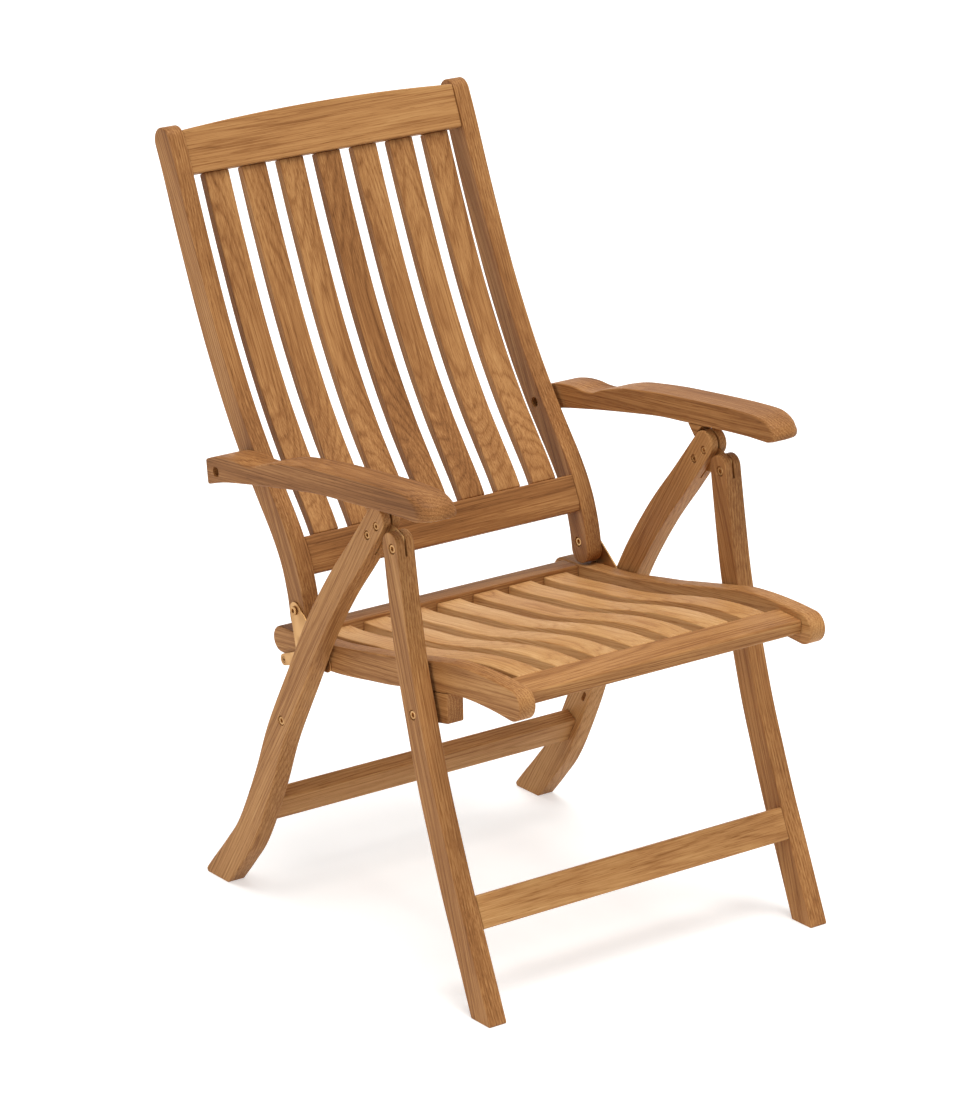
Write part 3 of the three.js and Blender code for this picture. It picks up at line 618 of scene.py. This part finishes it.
# %% Leg outlines and the hinge plate
rear_leg_widths, front_leg_widths = (38.0, 46.0), (34.0, 41.0)
front_stretcher_share, rear_stretcher_share = 0.749, 0.7545
hinge_plate_thickness, lug_radius, lug_nose_radius, plate_end_radius, tail_length = 3.0, 9.0, 7.5, 10.4, 10.0
fold_angle, fold_margin, slot_margin = 48, 3, 4.0
stop_slot_radius, stop_slot_half_length, stop_slot_depth = 3.5, 5.0, 8.0
rear_leg_outline = clipped(strip(rear_leg_line, *rear_leg_widths, False), floor_point, up)
front_leg_outline = clipped(strip(front_leg_line, *front_leg_widths, False), floor_point, up)
rear_leg_down = on_line(rear_leg_line, 0.03)[1]
plate_tail = screws[1] + rear_leg_down * tail_length
hinge_plate_outline = band([
    (hinge, lug_radius), (np.array([1955, 5840]) * unit, lug_nose_radius),
    (screws[0], plate_end_radius), (screws[1], plate_end_radius), (plate_tail, plate_end_radius)])
slot_reach = 2 * front_leg_widths[1]
rear_slot_floor = plate_tail + rear_leg_down * (plate_end_radius + slot_margin)
rear_slot_outline = section(
    rear_slot_floor - rear_leg_down * slot_reach, rear_leg_down, 2 * slot_reach, 2 * slot_reach)
to_tail = plate_tail - hinge
lower_edge = math.atan2(to_tail[1], to_tail[0]) - math.asin(
    (plate_end_radius - lug_radius) / float(np.linalg.norm(to_tail)))
sweep = math.radians(fold_angle + fold_margin) - lower_edge
lug_room = lug_radius + clearance
slot_corner = hinge + np.array([-lug_room * math.tan(sweep / 2), -lug_room])
sweep_end = slot_corner + np.array([math.cos(sweep), -math.sin(sweep)]) * slot_reach
front_slot_outline = np.array([
    [hinge[0] - slot_reach, slot_corner[1]], slot_corner, sweep_end,
    [sweep_end[0] + slot_reach, hinge[1] + slot_reach], [hinge[0] - slot_reach, hinge[1] + slot_reach]])
plate_inner, plate_outer = leg_middle - hinge_plate_thickness / 2, leg_middle + hinge_plate_thickness / 2
rear_point, rear_course = on_line(rear_leg_line, rear_stretcher_share)
stop_slot_outline = band([(np.array([4937, 1797]) * unit + rear_course * step, stop_slot_radius)
                          for step in (-stop_slot_half_length, stop_slot_half_length)])


def slot_cutter(outline, side):
    """A plain slab for the saw slot in the middle of a leg."""
    faces = layer(side, plate_inner - clearance, plate_outer + clearance)
    return skin("slot", np.stack([np.insert(anticlockwise(outline), 0, across, axis=1) for across in faces]))


# %% Legs
leg_arris, rear_leg_corner, front_leg_corner, cutter_arris = 1.6, 4.5, 2.5, 0.3
for suffix, side in sides:
    faces = layer(side, leg_inner, leg_outer)
    rear_leg = board(f"rear_leg_{suffix}_wood", rear_leg_outline, *faces, leg_arris, rear_leg_corner)
    cut(rear_leg, [slot_cutter(rear_slot_outline, side)])
    stop_slot = layer(side, leg_inner - overshoot, leg_inner + stop_slot_depth)
    cut(rear_leg, [*drilled(screws, side, leg_inner, leg_outer, screw_hole, screw_seat, screw_seat),
                   *drilled([link_foot], side, leg_inner, leg_outer, shank_hole, head_seat, head_seat),
                   board("slot", stop_slot_outline, *stop_slot, cutter_arris)])
    wooden(rear_leg, "rear_legs", rear_leg_line[-1] - rear_leg_line[0], across_chair)
    front_leg = board(f"front_leg_{suffix}_wood", front_leg_outline, *faces, leg_arris, front_leg_corner)
    cut(front_leg, [slot_cutter(front_slot_outline, side)])
    cut(front_leg, drilled([hinge], side, leg_inner, leg_outer, shank_hole, head_seat, head_seat)
        + drilled([seat_pivot], side, leg_inner, leg_outer, shank_hole, None, head_seat))
    wooden(front_leg, "front_legs", front_leg_line[-1] - front_leg_line[0], across_chair)

# %% Hinge plates and the legs' bolts
hinge_plate_arris, spacer_rim = 0.4, 0.5


def two_headed(name, centre, start, end, side, rides_on, size=bolt_size):
    """Finishes a bolt with two heads."""
    barrel, cap, half = size
    steps = [(cap, start + head_thickness), (barrel, end - head_thickness), (cap, end)]
    brazen(bolt(f"{name}_brass", centre, start, steps, side, (half, half)), rides_on)


for suffix, side in sides:
    plate = board(f"hinge_plate_{suffix}_brass", hinge_plate_outline, *layer(side, plate_inner, plate_outer),
                  hinge_plate_arris)
    cut(plate, drilled([hinge], side, leg_inner, leg_outer, shank_hole)
        + drilled(screws, side, leg_inner, leg_outer, screw_hole))
    brazen(plate, "rear_legs")
    for name, centre, inner, rides_on, size in (
            ("plate_screw_upper", screws[0], leg_inner, "rear_legs", screw_size),
            ("plate_screw_lower", screws[1], leg_inner, "rear_legs", screw_size),
            ("link_foot_bolt", link_foot, leg_inner, "rear_legs", bolt_size),
            ("hinge_bolt", hinge, leg_inner, "front_legs", bolt_size),
            ("seat_bolt", seat_pivot, rail_inner, "front_legs", bolt_size)):
        two_headed(f"{name}_{suffix}", centre, inner + head_recess, leg_outer - head_recess, side, rides_on,
                   size)
    low, high = rail_outer + clearance, leg_inner - clearance
    spacer = turned(f"seat_spacer_{suffix}_brass", seat_pivot, [(side * x, radius) for x, radius in (
        (low, spacer_radius - spacer_rim), (low + spacer_rim, spacer_radius),
        (high - spacer_rim, spacer_radius), (high, spacer_radius - spacer_rim))])
    cut(spacer, drilled([seat_pivot], side, rail_outer, leg_inner, shank_hole))
    brazen(spacer, "front_legs")

# %% [markdown]
# Two stretchers tie the legs. The front one is let in flush with the legs' front edges.

# %% Stretchers
front_stretcher_size, rear_stretcher_size = (45.5, 20.0), (44.0, 24.0)
stretcher_end = leg_inner - clearance


def let_in(line, share, board_width, thickness, drop):
    """Centre, direction and outward normal of a cross board whose outer face lies a drop inside the edge of
    the board that it meets: it moves out by half the difference in thickness, less the drop."""
    point, course = on_line(line, share)
    outwards = -left_of(course)
    return point + outwards * ((board_width - thickness) / 2 - drop), course, outwards


def cross_board(name, outline, end, rides_on, thin, arris=1.2, corner=2.4):
    """A teak board across the chair, as far as end on both sides."""
    wooden(board(f"{name}_wood", outline, -end, end, arris, corner), rides_on, across_chair, thin)


front_width = front_leg_widths[0] + (front_leg_widths[1] - front_leg_widths[0]) * front_stretcher_share
front_centre, front_course, front_edge = let_in(
    front_leg_line, front_stretcher_share, front_width, front_stretcher_size[1], 0.0)
cross_board("front_stretcher", section(front_centre, front_course, *front_stretcher_size), stretcher_end,
            "front_legs", -front_edge)
cross_board("rear_stretcher", section(rear_point, rear_course, *rear_stretcher_size), stretcher_end,
            "rear_legs", left_of(rear_course))

# %% [markdown]
# The seat is a frame of two waved side rails with a front and a rear rail between them. A block under each
# side rail takes the bolt that the seat turns on, and a brass bracket outside each rail carries the back.

# %% Seat rails, blocks and brackets
seat_rail_widths, seat_rail_arris, plate_arris = (38.0, 44.0), 2.6, 0.35
block_half_length, block_drop, block_arris, block_corner = 34.5, 17.5, 1.6, 2.5
bracket_top_radius, bracket_foot_radius = 12.0, 11.0
seat_rail_outline = strip(seat_rail_line, *seat_rail_widths)
seat_rail_room = strip(seat_rail_line, *(width + 2 * clearance for width in seat_rail_widths))
block_top, block_course = on_line(seat_rail_line, 0.68)
block_front, block_rear = seat_pivot[0] - block_half_length, seat_pivot[0] + block_half_length
sole_rise = block_half_length * block_course[1] / block_course[0]
block_sole, block_roof = seat_pivot[1] - block_drop, block_top[1] - seat_rail_widths[1] / 4
block_outline = np.array([[block_front, block_sole - sole_rise], [block_rear, block_sole + sole_rise],
                          [block_rear, block_roof], [block_front, block_roof]])
bracket_outline = band([
    (back_pivot, bracket_top_radius), (np.array([3944, 3607]) * unit, bracket_foot_radius),
    (np.array([4523, 3589]) * unit, bracket_foot_radius)])
block_grain = np.array([-1.0, 0.1])
for suffix, side in sides:
    low, high = layer(side, rail_inner, rail_outer)
    rail = board(f"seat_rail_{suffix}_wood", seat_rail_outline, low, high, seat_rail_arris)
    cut(rail, drilled([link_head], side, rail_inner, link_outer, shank_hole, head_seat))
    wooden(rail, "seat", seat_rail_line[-1] - seat_rail_line[0], across_chair)
    block = board(f"pivot_block_{suffix}_wood", block_outline, low, high, block_arris, block_corner)
    cut(block, [board("room", seat_rail_room, low - overshoot, high + overshoot, cutter_arris)])
    cut(block, drilled([seat_pivot], side, rail_inner, link_outer, shank_hole, head_seat))
    wooden(block, "seat", block_grain, across_chair)
    bracket = board(f"back_bracket_{suffix}_brass", bracket_outline,
                    *layer(side, rail_outer + clearance, bracket_outer), plate_arris)
    cut(bracket, drilled([back_pivot, link_head], side, rail_inner, link_outer, shank_hole))
    brazen(bracket, "seat")
    start = rail_inner + head_recess
    brazen(bolt(f"link_head_bolt_{suffix}_brass", link_head, start, [
        (head, start + head_thickness), (shank, link_outer)], side, (bolt_socket, None)), "seat")

# %% [markdown]
# The front rail lies below the side rails' top, and its front corners are rounded for the knees.

# %% Front and rear rail of the seat
front_rail_size, rear_rail_size, front_rail_nose = (50.0, 20.0), (35.0, 22.0), 3.5
front_rail_drop, rear_rail_drop = 9.0, 1.0
rail_end = rail_inner - clearance
front_middle, front_line, front_lift = let_in(
    seat_rail_line, 0.957, seat_rail_widths[1], front_rail_size[1], front_rail_drop)
rear_middle, rear_line, rear_lift = let_in(
    seat_rail_line, 0.045, seat_rail_widths[0], rear_rail_size[1], rear_rail_drop)
half_depth, half_thickness = np.array(front_rail_size) / 2
front_rail_outline = band([
    (front_middle + ahead * front_line * (half_depth - radius)
     + above * front_lift * (half_thickness - radius), radius)
    for ahead, radius in ((1, front_rail_nose), (-1, 0.0)) for above in (-1, 1)])
cross_board("seat_front_rail", front_rail_outline, rail_end, "seat", front_lift, corner=1.8)
cross_board("seat_rear_rail", section(rear_middle, rear_line, *rear_rail_size), rail_end, "seat", rear_lift,
            corner=2.2)

# %% [markdown]
# Seven slats fill the seat. Each follows one waved line from the rear rail, down into the hollow where one
# sits and up over the knees.

# %% Seat slats
seat_slat_line = curve_through([
    [4860, 3779], [4579, 3780], [4318, 3790], [3925, 3832], [3570, 3879], [3224, 3916], [2879, 3963],
    [2449, 4047], [2047, 4140], [1729, 4206], [1411, 4267], [944, 4325], [430, 4351], [224, 4358]])
slat_count, slat_width, slat_thickness, slat_arris = 7, 40.0, 15.0, 1.8
slat_pitch = (2 * rail_inner + slat_width) / (slat_count + 1)
slat_top, slat_course = on_line(seat_slat_line, np.linspace(0, 1, 90))
slat_under = (slat_top + left_of(slat_course) * slat_thickness)[::-1]
seat_slat_outline = clipped(clipped(
    np.concatenate([slat_top, slat_under]),
    front_middle - front_line * (half_depth + clearance), -front_line),
    rear_middle + rear_line * (rear_rail_size[0] / 2 + clearance), rear_line)
slat_middles = (np.arange(slat_count) - (slat_count - 1) / 2) * slat_pitch


def slats(seat_or_back, outline, along, thin):
    """A row of slats, from the sitter's right to the left."""
    for number, middle in enumerate(slat_middles, start=1):
        slat = board(f"{seat_or_back}_slat_{number}_wood", outline, middle - slat_width / 2,
                     middle + slat_width / 2, slat_arris)
        wooden(slat, seat_or_back, along, thin)


slats("seat", seat_slat_outline, seat_slat_line[-1] - seat_slat_line[0], up)

# %% [markdown]
# When the chair stands open, a brass rod under the seat's rails carries its rear. The rod is held by a
# cranked link on each side, which turns on the seat's rail and is pinned to the rear leg.

# %% Links and the rod under the seat
tie_rod_radius, spigot_radius, rod_socket = 5.5, 4.0, 2.0
link_head_radius, link_foot_radius, link_rod_radius = 10.0, 9.0, 8.5
tie_rod = np.array([4897 * unit, seat_rail_line[0][1] - seat_rail_widths[0] / 2 - clearance - tie_rod_radius])
for suffix, side in sides:
    faces = layer(side, link_inner, link_outer)
    link, crank = (board(name, band([(link_head, link_head_radius), (end, radius)]), *faces, plate_arris)
                   for name, end, radius in ((f"link_{suffix}_brass", link_foot, link_foot_radius),
                                             ("crank", tie_rod, link_rod_radius)))
    cut(link, [crank], "UNION")
    cut(link, drilled([link_head, link_foot], side, link_inner, link_outer, shank_hole)
        + drilled([tie_rod], side, link_inner, link_outer, spigot_radius + clearance))
    brazen(link, "links")
brazen(bolt("tie_rod_brass", tie_rod, -link_outer, [
    (spigot_radius, clearance - link_inner), (tie_rod_radius, link_inner - clearance),
    (spigot_radius, link_outer)], 1, (rod_socket, rod_socket)), "links")

# %% [markdown]
# The back is two curved stiles with an arched top rail and a lower rail between them. The stiles turn on
# bolts at their feet and are bolted to the arms.

# %% Stiles and their bolts
stile_widths, stile_arris = (40.0, 39.0), 1.6
stile_outline = strip(stile_line, *stile_widths)
for suffix, side in sides:
    stile = board(f"stile_{suffix}_wood", stile_outline, *layer(side, rail_inner, rail_outer), stile_arris)
    cut(stile, drilled([back_pivot], side, rail_inner, rail_outer, shank_hole, head_seat)
        + drilled([arm_pivot], side, rail_inner, rail_outer, shank_hole, head_seat, None, arm_bolt_depth))
    wooden(stile, "back", stile_line[-1] - stile_line[0], across_chair)
    two_headed(f"back_pivot_bolt_{suffix}", back_pivot, rail_inner + head_recess,
               bracket_outer + clearance + head_thickness, side, "pivot_bolts")

# %% [markdown]
# The top rail is drawn from the front: level below and arched above. Its outline is carried through the
# rail's thickness like a board's, and then laid along the leaning stiles. The lower rail has a long chamfer
# along its bottom front edge.

# %% Top and lower rail of the back
top_rail_thickness, top_rail_height, top_rail_arch, rail_set_back, top_rail_arris = 22.0, 63.0, 8.0, 3.0, 2.0
lower_rail_size, lower_rail_set_back, chamfer_height, chamfer_depth = (52.5, 26.0), 1.0, 14.0, 4.0
top_centre, top_course, top_forward = let_in(
    stile_line, 0.0765, stile_widths[0], top_rail_thickness, rail_set_back)
share = np.linspace(1, -1, 61)
top_outline = np.concatenate([
    [[-rail_end, 0.0], [rail_end, 0.0]],
    np.stack([share * rail_end, top_rail_height + top_rail_arch * (1 - share ** 2)], axis=1)])
across, inset = arris_stations(-top_rail_thickness / 2, top_rail_thickness / 2, top_rail_arris)
rings = drawn_in(eased(top_outline, 2.5), inset)
rise_way, thin_way = side_way(-top_course), side_way(top_forward)
rows = (rings[..., :1] * across_chair + rings[..., 1:] * rise_way + across[:, None, None] * thin_way
        + side_way(top_centre))
wooden(skin("top_rail_wood", rows), "back", across_chair, thin_way, pith=(6.0, 46.0))
lower_centre, lower_course, lower_forward = let_in(
    stile_line, 0.8825, stile_widths[1], lower_rail_size[1], lower_rail_set_back)
half_height, half_thickness = np.array(lower_rail_size) / 2
chamfer_start = lower_centre + lower_forward * half_thickness + lower_course * (half_height - chamfer_height)
chamfer_inwards = -lower_course * chamfer_depth - lower_forward * chamfer_height
lower_rail_outline = clipped(section(lower_centre, lower_course, *lower_rail_size), chamfer_start,
                             chamfer_inwards / np.linalg.norm(chamfer_inwards))
cross_board("lower_rail", lower_rail_outline, rail_end, "back", -lower_forward, arris=1.4, corner=2.6)

# %% [markdown]
# The back's slats bend like the stiles and are let in between the two rails, set back a little.

# %% Back slats
slat_set_back = 6.0
slat_forward = stile_widths[0] / 2 - rail_set_back - slat_set_back - slat_thickness / 2
back_centre, back_course = on_line(stile_line, np.linspace(0, 1, 90))
back_centre = back_centre - left_of(back_course) * slat_forward
half = left_of(back_course) * slat_thickness / 2
back_slat_outline = clipped(clipped(
    np.concatenate([back_centre + half, (back_centre - half)[::-1]]),
    top_centre + top_course * clearance, top_course),
    lower_centre - lower_course * (half_height + clearance), -lower_course)
slats("back", back_slat_outline, stile_line[-1] - stile_line[0], left_of(back_course[45]))

# %% [markdown]
# An arm is shaped on three sides: waved along its top, thin at the nose, and round at the nose's corners when
# seen from above. So each row across the arm is its side view, with the nose drawn back by how far the round
# corner has receded at that row.

# %% Arms
arm_top = curve_through([
    [5828, 6009], [5626, 6084], [5374, 6135], [5140, 6150], [4935, 6140], [4729, 6159], [4486, 6252],
    [4112, 6360], [3720, 6425], [3271, 6486], [2850, 6528], [2299, 6579], [1813, 6617], [1402, 6636],
    [1140, 6622], [958, 6562], [872, 6472], [888, 6378], [1010, 6335]])
arm_under = curve_through([
    [1402, 6327], [1813, 6299], [2336, 6252], [2804, 6210], [3280, 6164], [3963, 6056], [4505, 5963],
    [4785, 5911], [5393, 5790], [5794, 5673]])
arm_outline = np.concatenate([
    on_line(arm_top, np.linspace(0, 1, 150))[0], on_line(arm_under, np.linspace(0, 1, 60))[0]])
arm_arris, outer_nose, inner_nose, nose_length = 2.2, 24.0, 9.0, 75.0
arm_ring = eased(arm_outline, 3.5)
arm_front = float(arm_ring[:, 0].min())


def arm(name, side):
    """An arm. At a distance d from a side face, the outline draws in by r - sqrt(r^2 - (r - d)^2) within the
    arris r, and the nose recedes by R - sqrt(R^2 - (R - d)^2) within the corner radius R."""
    near = np.concatenate([arm_arris * (1 - np.cos(np.linspace(0, math.pi / 2, 7))), [5.0, 7.0]])
    share = 1 - np.sin(np.linspace(0, math.pi / 2, 13))
    stations = np.unique(np.round(np.concatenate([
        near, arm_width - near, inner_nose * share, arm_width - outer_nose * share]), 3))

    def hollow(distance, radius):
        return radius - np.sqrt(radius ** 2 - np.clip(radius - distance, 0, radius) ** 2)
    inset = np.maximum(hollow(stations, arm_arris), hollow(arm_width - stations, arm_arris))
    recede = np.maximum(hollow(stations, inner_nose), hollow(arm_width - stations, outer_nose))
    stations, inset, recede = (np.pad(row, 1, mode="edge") for row in (stations, inset, recede))
    inset[[0, -1]] += face_ring
    rings = drawn_in(arm_ring, inset)
    nearness = np.clip(1 - (rings[..., 0] - arm_front) / nose_length, 0, 1)
    rings[..., 0] += recede[:, None] * nearness ** 2 * (3 - 2 * nearness)
    x = np.broadcast_to(side * (arm_inner + stations)[:, None, None], rings.shape[:2] + (1,))
    rows = np.concatenate([x, rings], axis=2)
    return skin(name, rows if side > 0 else rows[::-1])


for suffix, side in sides:
    arm_piece = arm(f"arm_{suffix}_wood", side)
    cut(arm_piece, drilled([arm_pivot], side, arm_inner, arm_outer, shank_hole, None, head_seat,
                           arm_bolt_depth))
    wooden(arm_piece, "arms", arm_ring[arm_ring[:, 0].argmin()] - arm_top[0], up)
    start, end = rail_inner + arm_bolt_recess, arm_outer - arm_bolt_recess
    brazen(bolt(f"arm_bolt_{suffix}_brass", arm_pivot, start, [
        (head, start + head_thickness), (shank, rail_outer + clearance),
        (spacer_radius, arm_inner - clearance), (shank, end - head_thickness), (head, end)], side,
        (bolt_socket, bolt_socket)), "arm_bolts")

# %% [markdown]
# A small block under each arm rests on the rear edge of the rear leg's top. It is cut to the arm's underside
# above, and flat along that edge below.

# %% Blocks under the arms
side_inset, leg_gap = 2.0, 0.8
block_shape = np.array([[2336, 6355], [2766, 6355], [2505, 6056], [2336, 5981]]) * unit
behind_leg = left_of(rear_leg_down)
block_shape = clipped(
    block_shape, rear_leg_line[0] + behind_leg * (rear_leg_widths[0] / 2 + leg_gap), behind_leg)
for suffix, side in sides:
    low, high = layer(side, leg_inner + side_inset, leg_outer - side_inset)
    rest = board(f"arm_block_{suffix}_wood", block_shape, low, high, 1.0, 1.4)
    cut(rest, [board("room", arm_outline - up * clearance, low - overshoot, high + overshoot, cutter_arris)])
    wooden(rest, "arms", block_grain, across_chair)

# %% [markdown]
# The chair stands on a plain white studio floor. To the camera the floor is lit a little from within, so that
# it reads as white, while the chair's shadow still darkens it. The world behind is white to the camera, to
# glossy and to transmission rays, and a grey sky to the rest.

# %% Floor and world
floor_reach, floor_glow, camera_glow, sky_strength = 30000.0, 0.15, 0.5, 0.38


def seen_directly():
    """1 for camera, glossy and transmission rays, and 0 for the rest."""
    rays = add_node("LightPath")
    either = sums("MAXIMUM", rays["Is Camera Ray"], rays["Is Glossy Ray"])
    return sums("MAXIMUM", either, rays["Is Transmission Ray"])


floor_corners = np.array([[-1, -1, 0], [1, -1, 0], [1, 1, 0], [-1, 1, 0]]) * floor_reach
floor = new_piece("studio_floor", floor_corners, [[0, 1, 2, 3]])
floor_material = new_material("matt_white_floor")
nodes = floor_material.node_tree
strength = add_node("MapRange", {"Value": seen_directly(), "To Min": floor_glow, "To Max": camera_glow})
paint = add_node("BsdfDiffuse", {"Color": (0.8, 0.8, 0.8, 1.0)})
glow = add_node("Emission", {"Color": (1.0, 1.0, 1.0, 1.0), "Strength": strength[0]})
both = add_node("AddShader", {0: paint[0], 1: glow[0]})
add_node("OutputMaterial", {"Surface": both[0]})
floor.data.materials.append(floor_material)
world = bpy.data.worlds.new("studio")
world.use_nodes = True
scene.world = world
nodes = world.node_tree
nodes.nodes.clear()
sky = add_node("Background", {"Color": (1.0, 0.99, 0.97, 1.0), "Strength": sky_strength})
white = add_node("Background", {"Color": (1.0, 1.0, 1.0, 1.0), "Strength": 1.0})
choice = add_node("MixShader", {0: seen_directly(), 1: sky[0], 2: white[0]})
add_node("OutputWorld", {"Surface": choice[0]})

# %% [markdown]
# A broad, soft lamp overhead lights the seat and the tops of the arms. A weaker one stands low on the left:
# it lights the outer sides of the legs, while the slats shade each other from it, so that the gaps between
# them stay dark.

# %% Lamps


def broad_lamp(name, towards, strength, spread):
    """A sun lamp in the given direction from the chair, with its width in the sky in degrees."""
    lamp_data = bpy.data.lights.new(name, "SUN")
    lamp_data.energy, lamp_data.angle, lamp_data.color = strength, math.radians(spread), (1.0, 0.985, 0.96)
    lamp = bpy.data.objects.new(name, lamp_data)
    lamp.matrix_world = Vector(towards).to_track_quat("Z", "Y").to_matrix().to_4x4()
    scene.collection.objects.link(lamp)
    return lamp


lamps = [broad_lamp("overhead_lamp", (0.02, -0.22, 1.0), 2.7, 36.0),
         broad_lamp("left_lamp", (-1.0, -0.12, 0.28), 0.55, 28.0)]
scene.view_settings.view_transform = "Standard"
print("lamps:", [lamp.name for lamp in lamps])
